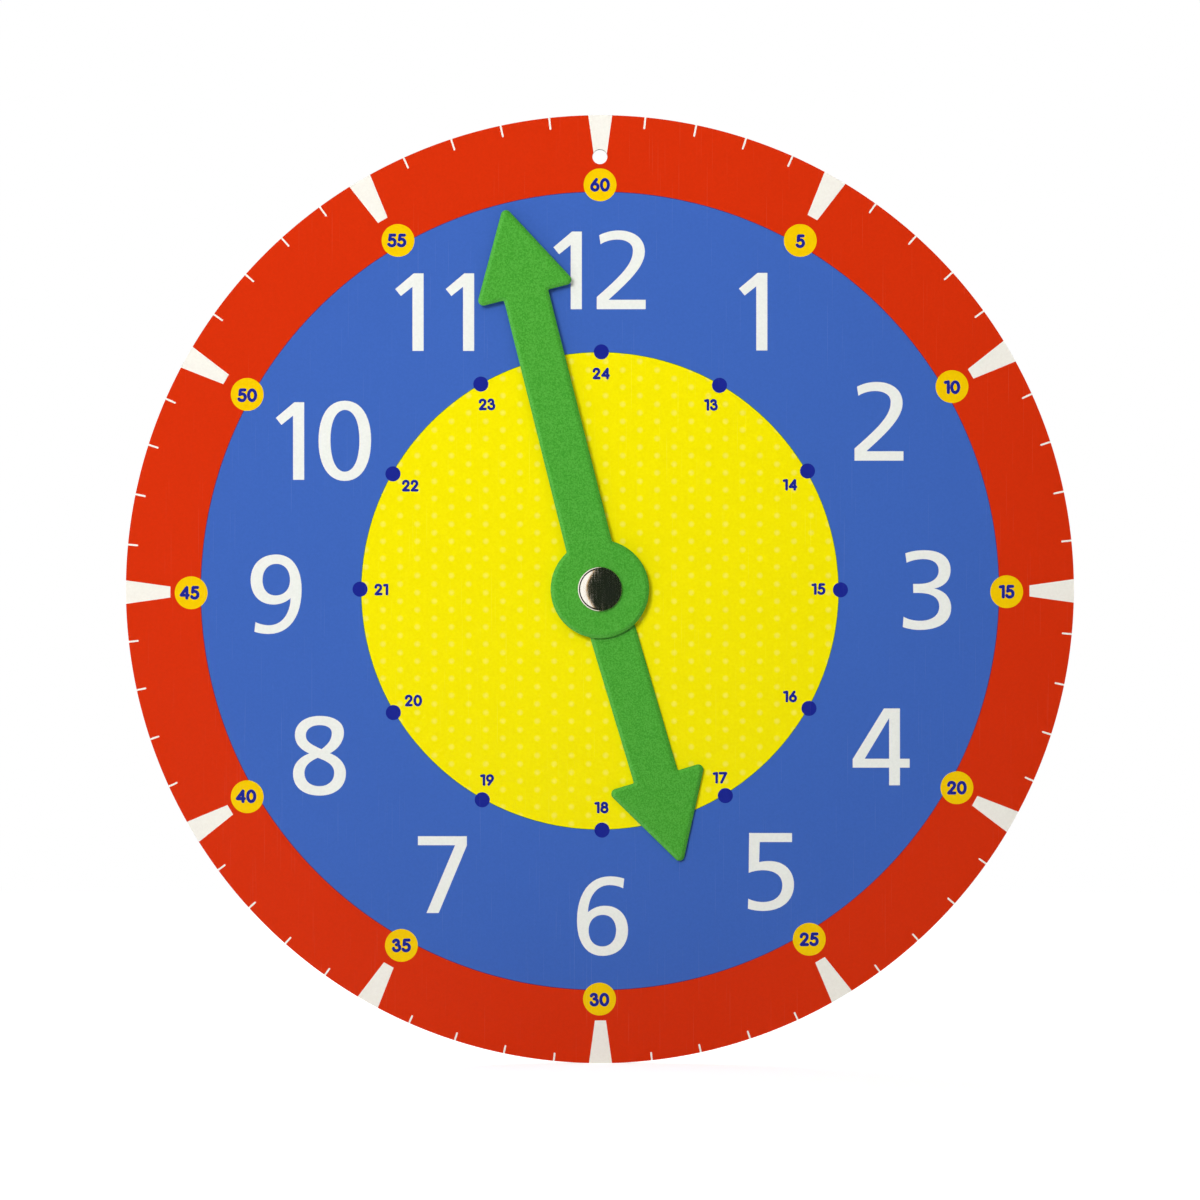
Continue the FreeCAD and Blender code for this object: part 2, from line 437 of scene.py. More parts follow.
print("a 24 has", len(small_label("24", np.zeros(2), 1.0, 0)), "strokes")

# %% [markdown]
# ## The layout of the print
# The dial is laid out as a painter would: the red ground first, then the blue and the yellow
# field, and the small things over them. Each entry is an ink, its outlines and its counters, in the
# order of painting, so a later one covers an earlier one. Where two fields meet, a printer lets the
# inks overlap by a tenth of a millimetre or so, which leaves a hair of plum between red and blue
# and one of moss green between blue and yellow. The white is bare paper, and light that spreads in
# the paper tints it: warm in the red ring, cooler in the numerals on the blue.
# Sheets are printed before they are cut, and on this clock the print sits a third of a millimetre
# low on its disc. That slip is kept.

# %% The sizes of the fields, the spots and the marks
DEGREES_PER_MINUTE = 6
PRINT_CENTRE = np.array([0.0, -0.38])
BLUE_RADIUS = 88.4
YELLOW_RADIUS = 52.87
OVERLAP = 0.07
MINUTE_SPOT_RADIUS, MINUTE_SPOT_RING = 3.64, 90.1
HOUR_SPOT_RADIUS, HOUR_SPOT_RING = 1.68, 53.1
FIELD_STEPS = 720
SPOT_STEPS = 72

WEDGE_FOOT, WEDGE_END = 95.15, 107.0
WEDGE_FOOT_HALF, WEDGE_END_HALF = 1.22, 2.89
TICK_FOOT, TICK_END, TICK_HALF = 102.95, 107.0, 0.2

print("the blue field is", 2 * BLUE_RADIUS, "mm across and the yellow one", 2 * YELLOW_RADIUS, "mm")

# %% [markdown]
# The artwork was pasted up by hand. The thin minute marks of each quarter are a group that was
# turned into place by eye, hardly a wedge points quite at its minute, and no spot sits quite on its
# ring. The tables of slips hold this. The wedges have degrees clockwise, from 12 o'clock round. The
# thin marks have them by quarter and by place between two wedges. The spots and their numbers have
# millimetres (x, y).

# %% The slips of the marks and the spots
WEDGE_SLIPS = [0.04, -0.35, -0.34, 0.0, -0.76, -0.82, -0.07, -0.56, -0.63, -0.15, -0.50, -0.36]
TICK_SLIPS = [[-0.52, -0.30, -0.10, -0.10], [-0.76, -0.55, -0.34, -0.32],
              [-0.40, -0.26, -0.10, -0.17], [-0.39, -0.24, -0.06, -0.12]]
MINUTE_SPOT_SLIPS = np.array([
    [0.03, -0.16], [-0.67, -0.42], [-0.04, 0.20], [-0.01, -0.19], [1.05, 1.45], [1.32, 0.86],
    [-0.09, -0.31], [1.08, -0.50], [-0.09, -0.55], [-0.44, -0.42], [-0.09, -1.54], [0.33, -0.41]])
MINUTE_LABEL_SLIPS = {5: (0, -0.16), 10: (0, -0.13), 30: (0, -0.13), 40: (-0.27, 0.11),
                      45: (-0.36, 0), 50: (0, -0.18), 55: (-0.28, 0)}
HOUR_SPOT_SLIPS = np.array([
    [0.32, -0.16], [-0.05, -0.46], [0.0, -0.01], [0.18, 0.23], [0.32, 0.53], [1.24, 0.64],
    [0.47, 0.11], [0.49, -0.29], [0.23, -0.41], [-0.02, 0.38], [0.15, -0.63], [0.18, -0.18]])

print("the wedges lean by up to", max(np.abs(WEDGE_SLIPS)), "degrees")

# %% [markdown]
# The minutes sit on their spots, so they need no places of their own. A large number has the lower
# left corner of its first digit as its place, and a small hour has its middle. The labels' scales
# are millimetres for a unit of the small digits, and their gaps are in those units.

# %% The places of the numbers
MINUTE_LABEL_SCALE, MINUTE_LABEL_GAP = 0.00287, 78
HOUR_LABEL_SCALE, HOUR_LABEL_GAP = 0.00246, 115

HOUR_PLACES = {
    "1": (30.8, 53.25), "2": (56.4, 28.85), "3": (67.15, -8.4), "4": (56.0, -43.05),
    "5": (32.8, -70.65), "6": (-5.05, -80.6), "7": (-40.3, -71.35), "8": (-68.0, -45.1),
    "9": (-77.35, -9.3), "10": (-71.8, 24.6), "11": (-45.35, 53.15), "12": (-10.3, 62.4)}
SECOND_DIGIT_STEP = {"10": 9.5, "11": 11.2, "12": 9.6}

AFTERNOON_PLACES = {
    "13": (24.6, 41.2), "14": (42.1, 23.5), "15": (48.4, 0.4), "16": (42.1, -23.4),
    "17": (26.6, -41.4), "18": (0.35, -48.0), "19": (-25.0, -41.9), "20": (-41.3, -24.3),
    "21": (-48.4, 0.3), "22": (-42.0, 23.3), "23": (-25.0, 41.3), "24": (0.3, 48.15)}

print("places for", len(HOUR_PLACES), "large and", len(AFTERNOON_PLACES), "small hours")

# %% [markdown]
# With the tables in hand, the layout is a walk round the dial. Each mark is drawn once, at 12
# o'clock, and turned to its minute. Marks run past the rim, because the cut will trim them there.

# %% Lay out the fields, the marks and the numbers
def clock_turn(points, minutes):
    """Turn points clockwise by that many minutes, each a sixtieth of a turn."""
    angle = math.radians(DEGREES_PER_MINUTE * minutes)
    x, y = points[..., 0], points[..., 1]
    return np.stack([x * math.cos(angle) + y * math.sin(angle),
                     y * math.cos(angle) - x * math.sin(angle)], -1)


def tick():
    """Return a minute mark at 12 o'clock: two straight sides and a half round foot."""
    turn = np.linspace(0, -np.pi, CAP_STEPS)[:, None]
    foot = [0, TICK_FOOT] + TICK_HALF * np.hstack([np.cos(turn), np.sin(turn)])
    return np.concatenate([foot, [[-TICK_HALF, TICK_END], [TICK_HALF, TICK_END]]])


def layout():
    """Return the painting order of the dial: (ink, outlines, counters) for each printed thing."""
    wedge = np.array([[-WEDGE_FOOT_HALF, WEDGE_FOOT], [WEDGE_FOOT_HALF, WEDGE_FOOT],
                      [WEDGE_END_HALF, WEDGE_END], [-WEDGE_END_HALF, WEDGE_END]])
    things = [(ink, [circle(radius, FIELD_STEPS)], []) for ink, radius in (
        ("plum", BLUE_RADIUS + OVERLAP), ("blue", BLUE_RADIUS - OVERLAP),
        ("moss", YELLOW_RADIUS + OVERLAP), ("yellow", YELLOW_RADIUS - OVERLAP))]
    for minute in range(60):
        mark, slip = wedge, WEDGE_SLIPS[minute // 5]
        if minute % 5:
            mark, slip = tick(), TICK_SLIPS[minute // 15][minute % 5 - 1]
        things.append(("white", [clock_turn(mark, minute + slip / DEGREES_PER_MINUTE)], []))
    for minute in range(5, 65, 5):
        place = minute // 5 % 12
        centre = clock_turn(np.array([0, MINUTE_SPOT_RING]), minute) + MINUTE_SPOT_SLIPS[place]
        things.append(("amber", [circle(MINUTE_SPOT_RADIUS, SPOT_STEPS, centre)], []))
        middle = centre + MINUTE_LABEL_SLIPS.get(minute, (0, 0))
        label = small_label(str(minute), middle, MINUTE_LABEL_SCALE, MINUTE_LABEL_GAP)
        things += [("navy", outlines, counters) for outlines, counters in label]
        centre = clock_turn(np.array([0, HOUR_SPOT_RING]), minute) + HOUR_SPOT_SLIPS[place]
        things.append(("navy", [circle(HOUR_SPOT_RADIUS, SPOT_STEPS, centre)], []))
    for text, centre in AFTERNOON_PLACES.items():
        label = small_label(text, np.array(centre), HOUR_LABEL_SCALE, HOUR_LABEL_GAP)
        things += [("navy", outlines, counters) for outlines, counters in label]
    for text, corner in HOUR_PLACES.items():
        for place, digit in enumerate(text):
            start = np.array(corner) + [place * SECOND_DIGIT_STEP.get(text, 0), 0]
            outside, *counters = [start + outline for outline in hour_digit(digit)]
            things.append(("numeral", [outside], counters))
    return things


printed = layout()
print("printed things", len(printed))

# %% [markdown]
# ## Cutting the print into inks
# All outlines go into one cut, so the inks share their edges to the last point and no gap shows.
# Each triangle takes the ink of the last thing painted over it. Then each ink becomes a thin closed
# sheet of its own. That keeps the printed edges as sharp as the mesh, however small a picture the
# material is later baked to, and it lets every ink have its own material.

# %% Cut the print and make a sheet of each ink
def ink_sheet(points, triangles):
    """Return the strips of a thin closed sheet: both faces, and a wall along each open edge.

    An edge is open where only one triangle of the sheet uses it.
    """
    used, local = np.unique(triangles, return_inverse=True)
    triangles = local.reshape(-1, 3)
    edges = np.concatenate([triangles[:, [0, 1]], triangles[:, [1, 2]], triangles[:, [2, 0]]])
    _, index, count = np.unique(np.sort(edges, 1), axis=0, return_index=True, return_counts=True)
    rim = edges[index[count == 1]]
    flat = points[used]
    both = np.concatenate([stand_up(flat, print_back), stand_up(flat, paper_front)])
    walls = np.hstack([rim, rim[:, ::-1] + len(flat)])
    return [(both, triangles[:, ::-1]), (both, triangles + len(flat)), (both, walls)]


def cut_inks(things):
    """Return the points of the print and the triangles of each ink."""
    disc = circle(DISC_RADIUS, RIM_STEPS)
    holes = [circle(RIVET_HOLE_RADIUS, HOLE_STEPS),
             circle(HANGING_HOLE_RADIUS, HOLE_STEPS, HANGING_HOLE)]
    outlines = [disc, *holes]
    groups = []
    for ink, outsides, counters in things:
        groups.append((ink, len(outlines), len(outsides), len(counters)))
        outlines += [PRINT_CENTRE + outline for outline in outsides + counters]
    points, triangles, inside = cut_plane(outlines)
    top = np.full(len(triangles), "red", dtype="U8")
    for ink, start, outside_count, counter_count in groups:
        middle, end = start + outside_count, start + outside_count + counter_count
        top[inside[:, start:middle].any(1) & ~inside[:, middle:end].any(1)] = ink
    on_card = inside[:, 0] & ~inside[:, 1:len(holes) + 1].any(1)
    return points, {ink: triangles[on_card & (top == ink)] for ink in np.unique(top)}


print_points, ink_triangles = cut_inks(printed)
inks = {ink: make_piece("print_" + ink, ink_sheet(print_points, triangles), "dial")
        for ink, triangles in ink_triangles.items()}

# %% [markdown]
# ## The hands
# Both hands come from the same kind of mould: a hub, a shaft that narrows a little, and an
# arrowhead with soft corners. Every corner of the outline is an arc that touches its neighbours, so
# the outline can be walked as a chain of arcs, and the straight parts appear between them by
# themselves. Only the right side is worked out. The left side is its mirror image.

# %% Walk round a hand as a chain of arcs
HUB_RADIUS = 10.9
SHAFT_ROOT_HALF, SHAFT_NECK_HALF = 5.2, 5.05
HEAD_LENGTH = 19.35
HEAD_SIDE_ANGLE = math.radians(29.0)
HEAD_CORNER = 1.15
INNER_CORNER = 0.35
ARC_STEPS = 14
HUB_STEPS = 120
RIVET_BORE = 2.06
HOUR_REACH, HOUR_MINUTES = 62.7, 163.4 / DEGREES_PER_MINUTE
MINUTE_REACH, MINUTE_MINUTES = 86.4, 345.9 / DEGREES_PER_MINUTE


def arc(centre, radius, start, end, steps, inner=False):
    """Return points and outward normals: centre plus radius times (cos, sin) of the angle."""
    turn = np.linspace(start, end, steps)[:, None]
    out = np.hstack([np.cos(turn), np.sin(turn)])
    return np.array(centre) + radius * out, -out if inner else out


def hand_loop(reach):
    """Return the outline of a hand that points up, anticlockwise from below its hub."""
    barb = reach - HEAD_LENGTH
    shaft_length = barb + HEAD_CORNER
    along = np.array([SHAFT_NECK_HALF - SHAFT_ROOT_HALF, shaft_length])
    along /= np.linalg.norm(along)
    across = np.array([along[1], -along[0]])
    edge = np.array([SHAFT_ROOT_HALF, 0.0]) + INNER_CORNER * across
    middle = edge @ along
    to_hub = math.sqrt(middle ** 2 + (HUB_RADIUS + INNER_CORNER) ** 2 - edge @ edge) - middle
    hub_inner = edge + to_hub * along
    neck_inner = edge + (barb - INNER_CORNER - edge[1]) / along[1] * along
    lean = math.atan2(across[1], across[0])
    hub_angle = math.atan2(hub_inner[1], hub_inner[0])
    apex = reach + HEAD_CORNER * (1 / math.sin(HEAD_SIDE_ANGLE) - 1)
    corner_y = barb + HEAD_CORNER
    side_x = (apex - corner_y) * math.tan(HEAD_SIDE_ANGLE)
    corner_x = side_x - HEAD_CORNER / math.cos(HEAD_SIDE_ANGLE)
    right = [arc((0, 0), HUB_RADIUS, -math.pi / 2, hub_angle, HUB_STEPS),
             arc(hub_inner, INNER_CORNER, hub_angle - math.pi, lean - math.pi, ARC_STEPS, inner=True),
             arc(neck_inner, INNER_CORNER, lean + math.pi, math.pi / 2, ARC_STEPS, inner=True),
             arc((corner_x, corner_y), HEAD_CORNER, -math.pi / 2, HEAD_SIDE_ANGLE, ARC_STEPS),
             arc((0, reach - HEAD_CORNER), HEAD_CORNER, HEAD_SIDE_ANGLE, math.pi / 2, ARC_STEPS)]
    points = np.concatenate([part for part, _ in right])
    normals = np.concatenate([part for _, part in right])
    mirror = np.array([-1.0, 1.0])
    return (np.concatenate([points, (points * mirror)[-2:0:-1]]),
            np.concatenate([normals, (normals * mirror)[-2:0:-1]]))


print("minute hand outline points", len(hand_loop(MINUTE_REACH)[0]))

# %% [markdown]
# The section of a moulded edge is easy to read from its shine. Here a band of even brightness runs
# along every edge, so towards the front the edge is a slope and not a round. Below it is an upright
# wall, and a tight corner at the back, where the two halves of the mould met. Quadratic curves ease
# the two corners of the slope, and a last small step inwards at full height keeps the shading of the
# flat face flat right up to it.

# %% Mould both hands
SLOPE_WIDTH, SLOPE_HEIGHT = 0.78, 0.45
SLOPE_EASE = 0.16
BACK_CORNER = 0.06
EASE_STEPS = 5
FLAT_STEP = 0.04


def eased(start, corner, end):
    """Return a quadratic curve: its three points weighted by (1-t)^2, 2t(1-t) and t^2."""
    t = np.linspace(0, 1, EASE_STEPS)[:, None]
    return (1 - t) ** 2 * start + 2 * t * (1 - t) * corner + t ** 2 * end


def hand_section(back, front):
    """Return the rim section: a small chamfer, a wall, then a slope with both its corners eased."""
    low, high = np.array([0, front - SLOPE_HEIGHT]), np.array([SLOPE_WIDTH, front])
    along = SLOPE_EASE * (high - low) / np.linalg.norm(high - low)
    return np.concatenate([[(BACK_CORNER, back), (0, back + BACK_CORNER)],
                           eased(low - [0, SLOPE_EASE], low, low + along),
                           eased(high - along, high, high + [SLOPE_EASE, 0]),
                           [(SLOPE_WIDTH + SLOPE_EASE + FLAT_STEP, front)]])


def hand(name, reach, minutes, body, node):
    """Mould a hand, turn it to its time, and set it between its own depths."""
    back, front = depths(node)
    outline, normals = hand_loop(reach)
    loops = [(clock_turn(outline, minutes), clock_turn(normals, minutes)),
             round_loop(RIVET_BORE, HOLE_STEPS, hole=True)]
    strips = plate_strips(loops, hand_section(back, front))
    return make_piece(name, strips, body, [node])


hour_hand = hand("hour_hand_moulded", HOUR_REACH, HOUR_MINUTES, "hour", "hour_hand")
minute_hand = hand("minute_hand_moulded", MINUTE_REACH, MINUTE_MINUTES, "minute", "minute_hand")

# %% [markdown]
# ## The rivet's caps
# A cap is pressed from thin sheet: a shallow dome, a crease, and a rim rolled round and under. Each
# of these is an arc that leaves off in the direction where the next one starts. So the profile is
# drawn like a walk: go forward while turning by so much on such a radius. Then it is spun round the
# axis. The crease matters, because it is what draws the fine dark line inside the bright rim.

# %% Press the caps
DOME_SLOPE = math.radians(25.9)
CREASE_RADIUS = 0.15
CREASE_RISE = math.radians(10)
RIM_RADIUS = 0.45
CAP_RADIUS = 4.95
LAP_RADIUS = 3.85
SPIN_STEPS = 160
WALK_STEPS = 28


def cap_profile():
    """Return (radius, height) points from the crown to under the rim.

    The rim's circle stands on the seat. The crease and then the dome are set against it, each
    circle's centre lying on the line through the point where the two touch.
    """
    rim_x, rim_y = CAP_RADIUS - RIM_RADIUS, RIM_RADIUS
    step = (RIM_RADIUS + CREASE_RADIUS) * np.array([-math.sin(CREASE_RISE), math.cos(CREASE_RISE)])
    crease_x, crease_y = np.array([rim_x, rim_y]) + step
    edge_x = crease_x - CREASE_RADIUS * math.sin(DOME_SLOPE)
    edge_y = crease_y - CREASE_RADIUS * math.cos(DOME_SLOPE)
    dome_radius = edge_x / math.sin(DOME_SLOPE)
    dome_y = edge_y - dome_radius * math.cos(DOME_SLOPE)
    up, down = math.pi / 2, -math.pi / 2
    dome, _ = arc((0, dome_y), dome_radius, up, up - DOME_SLOPE, WALK_STEPS)
    crease, _ = arc((crease_x, crease_y), CREASE_RADIUS, down - DOME_SLOPE, down + CREASE_RISE,
                    ARC_STEPS)
    rim, _ = arc((rim_x, rim_y), RIM_RADIUS, up + CREASE_RISE, down, WALK_STEPS)
    return np.concatenate([dome, crease[1:], rim[1:], [[LAP_RADIUS, 0]]])


def cap(name, seat, side, node, body):
    """Spin the profile round the rivet's axis, to rise forwards (side 1) or backwards (side -1)."""
    profile = cap_profile()
    profile[0, 0] = 0
    flat = profile[:, 0, None, None] * circle(1.0, SPIN_STEPS)[None]
    level = seat + side * profile[:, 1, None]
    wall = (stand_up(flat, level), grid_faces(len(profile), SPIN_STEPS))
    under = (stand_up(flat[-1], level[-1, 0]), np.arange(SPIN_STEPS)[None])
    return make_piece(name, [wall, under], body, [node])


print("cap rise", round(cap_profile()[0, 1], 3), "mm")
front_seat, _ = depths("front_cap")
_, rear_seat = depths("rear_cap")
front_cap = cap("front_cap_pressed", front_seat, 1, "front_cap", "dial")
rear_cap = cap("rear_cap_pressed", rear_seat, -1, "rear_cap", "dial")

# %% [markdown]
# ## Colours and nodes
# Colours are picked as sRGB hex values, the way a screen shows them, and Blender mixes light, so
# one function turns them to linear numbers. One more small function adds a node with its settings
# and its links. With these two, a finish reads as a short list of what the surface is made of.

# %% A colour function and a node function
def linear(hex_colour, gain=1.0):
    """Return linear RGBA: ((c + 0.055) / 1.055) ^ 2.4 above 0.04045, and c / 12.92 below it."""
    channels = np.array([int(hex_colour[i:i + 2], 16) for i in (1, 3, 5)]) / 255
    bent = np.where(channels > 0.04045, ((channels + 0.055) / 1.055) ** 2.4, channels / 12.92)
    return (*np.clip(bent * gain, 0, 1).tolist(), 1.0)


def add_node(tree, kind, inputs=None, **settings):
    """Add a node, set its settings, and give its inputs values or links from other nodes."""
    node = tree.nodes.new(kind)
    for name, value in settings.items():
        setattr(node, name, value)
    for name, value in (inputs or {}).items():
        if isinstance(value, bpy.types.NodeSocket):
            tree.links.new(value, node.inputs[name])
        else:
            node.inputs[name].default_value = value
    return node


def start_finish(name, **surface):
    """Return a new material, its tree, its shader, and the place on the piece in millimetres.

    The place is the object's own coordinates, scaled to millimetres and centred on the rivet.
    """
    material = bpy.data.materials.new(name)
    material.use_nodes = True
    tree = material.node_tree
    shader = tree.nodes["Principled BSDF"]
    for socket, value in surface.items():
        shader.inputs[socket.replace("_", " ")].default_value = value
    own = add_node(tree, "ShaderNodeTexCoord")
    place = add_node(tree, "ShaderNodeMapping", {
        "Vector": own.outputs["Object"], "Location": (0, 0, -PIVOT_Z), "Scale": (1 / MM,) * 3})
    return material, tree, shader, place.outputs["Vector"]


def give(piece, material):
    """Put the material on a piece, or into the slots of a piece that came with the frame."""
    if not piece.material_slots:
        piece.data.materials.append(material)
    for place in piece.material_slots:
        place.material = material


print("red ink in linear light:", [round(channel, 3) for channel in linear("#D63009")])

# %% [markdown]
# ## Print under film
# The face is offset print on coated paper, laminated with clear polypropylene film. Offset ink lies
# down a little unevenly, which the eye reads as a fine mottle, and over a whole sheet it drifts.
# The film gives the ink its shine: polypropylene bends light by 1.49, and a thin film laid on paper
# shines a little less than a solid block, so the specular level is lowered. The shine shows the
# board's soft waves, and after some lessons the film carries hairline scratches.
# Real hairlines are about 0.02 mm wide. They are drawn 0.12 mm wide, so that they show.

# %% Hairline scratches
HAIRLINE_WIDTH = 0.12
HAIRLINE_LENGTH = 26.0
HAIRLINE_PEAKS = 0.70, 0.80


def hairlines(tree, place, lean, start):
    """Return thin bright lines: noise drawn out along one direction, of which the peaks stay."""
    along = add_node(tree, "ShaderNodeMapping", {
        "Vector": place, "Location": (start, 0, 0), "Rotation": (0, lean, 0),
        "Scale": (1 / HAIRLINE_WIDTH, 0, 1 / HAIRLINE_LENGTH)})
    noise = add_node(tree, "ShaderNodeTexNoise", {
        "Vector": along.outputs["Vector"], "Scale": 1.0, "Detail": 1.0, "Roughness": 0.4})
    peaks = add_node(tree, "ShaderNodeMapRange", {
        "Value": noise.outputs["Fac"], "From Min": HAIRLINE_PEAKS[0], "From Max": HAIRLINE_PEAKS[1]})
    return peaks.outputs["Result"]


print("hairlines are", HAIRLINE_WIDTH, "mm wide and", HAIRLINE_LENGTH, "mm long or so")

# %% [markdown]
# Rows of pale dots run over the yellow field. They are soft, and hardly paler than the yellow round
# them, so they are no part of the cut: one repeating pattern in the material makes them all.

# %% The dots of the yellow field
FIELD_DOT_PITCH = 3.794
FIELD_DOT_START = (-10.12, 10.6)
FIELD_DOT_RADIUS = 0.56
FIELD_DOT_SOFTNESS = 0.3


def field_dots(tree, place):
    """Return the soft dots of the yellow field: rows at one pitch, every second column half lower.

    Wrapping a coordinate between -n and n gives the distance to the nearest of points 2n apart. The
    dots are two such grids, the second one pitch to the side and half a pitch down.
    """
    nearest = []
    for side, drop in ((0, 0), (1, 0.5)):
        cell = add_node(tree, "ShaderNodeMapping", {
            "Vector": place, "Scale": (1 / FIELD_DOT_PITCH, 0, 1 / FIELD_DOT_PITCH),
            "Location": (-FIELD_DOT_START[0] / FIELD_DOT_PITCH - side, 0,
                         -FIELD_DOT_START[1] / FIELD_DOT_PITCH + drop)})
        wrapped = add_node(tree, "ShaderNodeVectorMath", {
            0: cell.outputs["Vector"], 1: (1, 1, 0.5), 2: (-1, -1, -0.5)}, operation="WRAP")
        flat = add_node(tree, "ShaderNodeVectorMath", {0: wrapped.outputs["Vector"], 1: (1, 0, 1)},
                        operation="MULTIPLY")
        nearest.append(add_node(tree, "ShaderNodeVectorMath", {0: flat.outputs["Vector"]},
                                operation="LENGTH").outputs["Value"])
    both = add_node(tree, "ShaderNodeMath", {0: nearest[0], 1: nearest[1]}, operation="MINIMUM")
    rim = FIELD_DOT_RADIUS / FIELD_DOT_PITCH
    soft = FIELD_DOT_SOFTNESS / FIELD_DOT_PITCH
    dot = add_node(tree, "ShaderNodeMapRange", {
        "Value": both.outputs["Value"], "From Min": rim + soft, "From Max": rim - soft},
        interpolation_type="SMOOTHSTEP")
    return dot.outputs["Result"]


print("two columns of field dots are", FIELD_DOT_PITCH, "mm apart")

# %% [markdown]
# One function mixes every ink. Its colour swings between a darker and a lighter tone with the fine
# mottle, and by less with the slow drift. Two sets of hairlines cross it, a little paler and rougher
# than the film, and both they and the board's waves bend the shine.

# %% Ink under film
MOTTLE_SIZE, MOTTLE_GAINS = 0.55, (0.86, 1.14)
DRIFT_SIZE, DRIFT_GAINS = 38.0, (0.955, 1.045)
DRIFT_SHARE = 0.45
FILM_ROUGHNESS = 0.14, 0.22
WAVE_SIZE, WAVE_HEIGHT = 9.0, 0.012 * MM
HAIRLINE_LEANS = math.radians(2), math.radians(64)
HAIRLINE_STARTS = 3.7, 11.3
HAIRLINE_DEPTH = 0.004 * MM
HAIRLINE_ROUGHNESS = 0.2
WORN_SHARE = 0.035


def ink_under_film(name, ink, dot_ink=None):
    """Return offset ink of one colour on coated paper under a laminated film."""
    material, tree, shader, place = start_finish(name, IOR=1.49, Specular_IOR_Level=0.35)
    mottle = add_node(tree, "ShaderNodeTexNoise", {
        "Vector": place, "Scale": 1 / MOTTLE_SIZE, "Detail": 3.0, "Roughness": 0.6})
    drift = add_node(tree, "ShaderNodeTexNoise", {
        "Vector": place, "Scale": 1 / DRIFT_SIZE, "Detail": 2.0})
    fine, wide = [add_node(tree, "ShaderNodeMix", {
        "Factor": noise.outputs["Fac"], "A": linear(ink, low), "B": linear(ink, high)},
        data_type="RGBA") for noise, (low, high) in ((mottle, MOTTLE_GAINS), (drift, DRIFT_GAINS))]
    colour = add_node(tree, "ShaderNodeMix", {
        "Factor": DRIFT_SHARE, "A": fine.outputs["Result"], "B": wide.outputs["Result"]},
        data_type="RGBA")
    if dot_ink:
        colour = add_node(tree, "ShaderNodeMix", {
            "Factor": field_dots(tree, place), "A": colour.outputs["Result"],
            "B": linear(dot_ink)}, data_type="RGBA")
    upright, slanting = [hairlines(tree, place, lean, start)
                         for lean, start in zip(HAIRLINE_LEANS, HAIRLINE_STARTS)]
    scratched = add_node(tree, "ShaderNodeMath", {0: upright, 1: slanting}, operation="MAXIMUM")
    faint = add_node(tree, "ShaderNodeMath", {0: scratched.outputs["Value"], 1: WORN_SHARE},
                     operation="MULTIPLY")
    worn = add_node(tree, "ShaderNodeMix", {
        "Factor": faint.outputs["Value"], "A": colour.outputs["Result"],
        "B": linear("#EFEDE4")}, data_type="RGBA")
    tree.links.new(worn.outputs["Result"], shader.inputs["Base Color"])
    gloss = add_node(tree, "ShaderNodeMapRange", {
        "Value": mottle.outputs["Fac"], "To Min": FILM_ROUGHNESS[0], "To Max": FILM_ROUGHNESS[1]})
    rough = add_node(tree, "ShaderNodeMath", {
        0: scratched.outputs["Value"], 1: HAIRLINE_ROUGHNESS, 2: gloss.outputs["Result"]},
        operation="MULTIPLY_ADD")
    tree.links.new(rough.outputs["Value"], shader.inputs["Roughness"])
    waves = add_node(tree, "ShaderNodeTexNoise", {
        "Vector": place, "Scale": 1 / WAVE_SIZE, "Detail": 2.0})
    board_wave = add_node(tree, "ShaderNodeBump", {
        "Height": waves.outputs["Fac"], "Distance": WAVE_HEIGHT})
    cut = add_node(tree, "ShaderNodeBump", {
        "Height": scratched.outputs["Value"], "Distance": HAIRLINE_DEPTH,
        "Normal": board_wave.outputs["Normal"]}, invert=True)
    tree.links.new(cut.outputs["Normal"], shader.inputs["Normal"])
    return material


INKS = {"red": "#D63009", "blue": "#3F66BB", "yellow": "#FDEA00", "white": "#F8F3E8",
        "numeral": "#EFF1EA", "amber": "#F8CA00", "navy": "#1C2790", "plum": "#55284C",
        "moss": "#4A7A30"}
PALE_DOT = "#F9EC4A"

for ink, piece in inks.items():
    dots = PALE_DOT if ink == "yellow" else None
    give(piece, ink_under_film(ink + "_offset_ink_under_film", INKS[ink], dots))
print("inks", sorted(inks))

# %% [markdown]
# ## Greyboard and papers
# The cut edge of greyboard shows what it is made of: matted grey and brown fibres in flat layers,
# with a few dark flecks of old print. So the noise for its colour is squeezed across the thickness
# of the board and stretched along it.

# %% Greyboard
FIBRE_LENGTH = 1.6
FIBRE_THICKNESS = 0.14
FIBRE_SPREAD = 0.3, 0.7
FIBRE_RELIEF = 0.05 * MM
FLECK_SIZE = 0.45
FLECK_PEAKS, FLECK_SHARE = (0.64, 0.72), 0.6


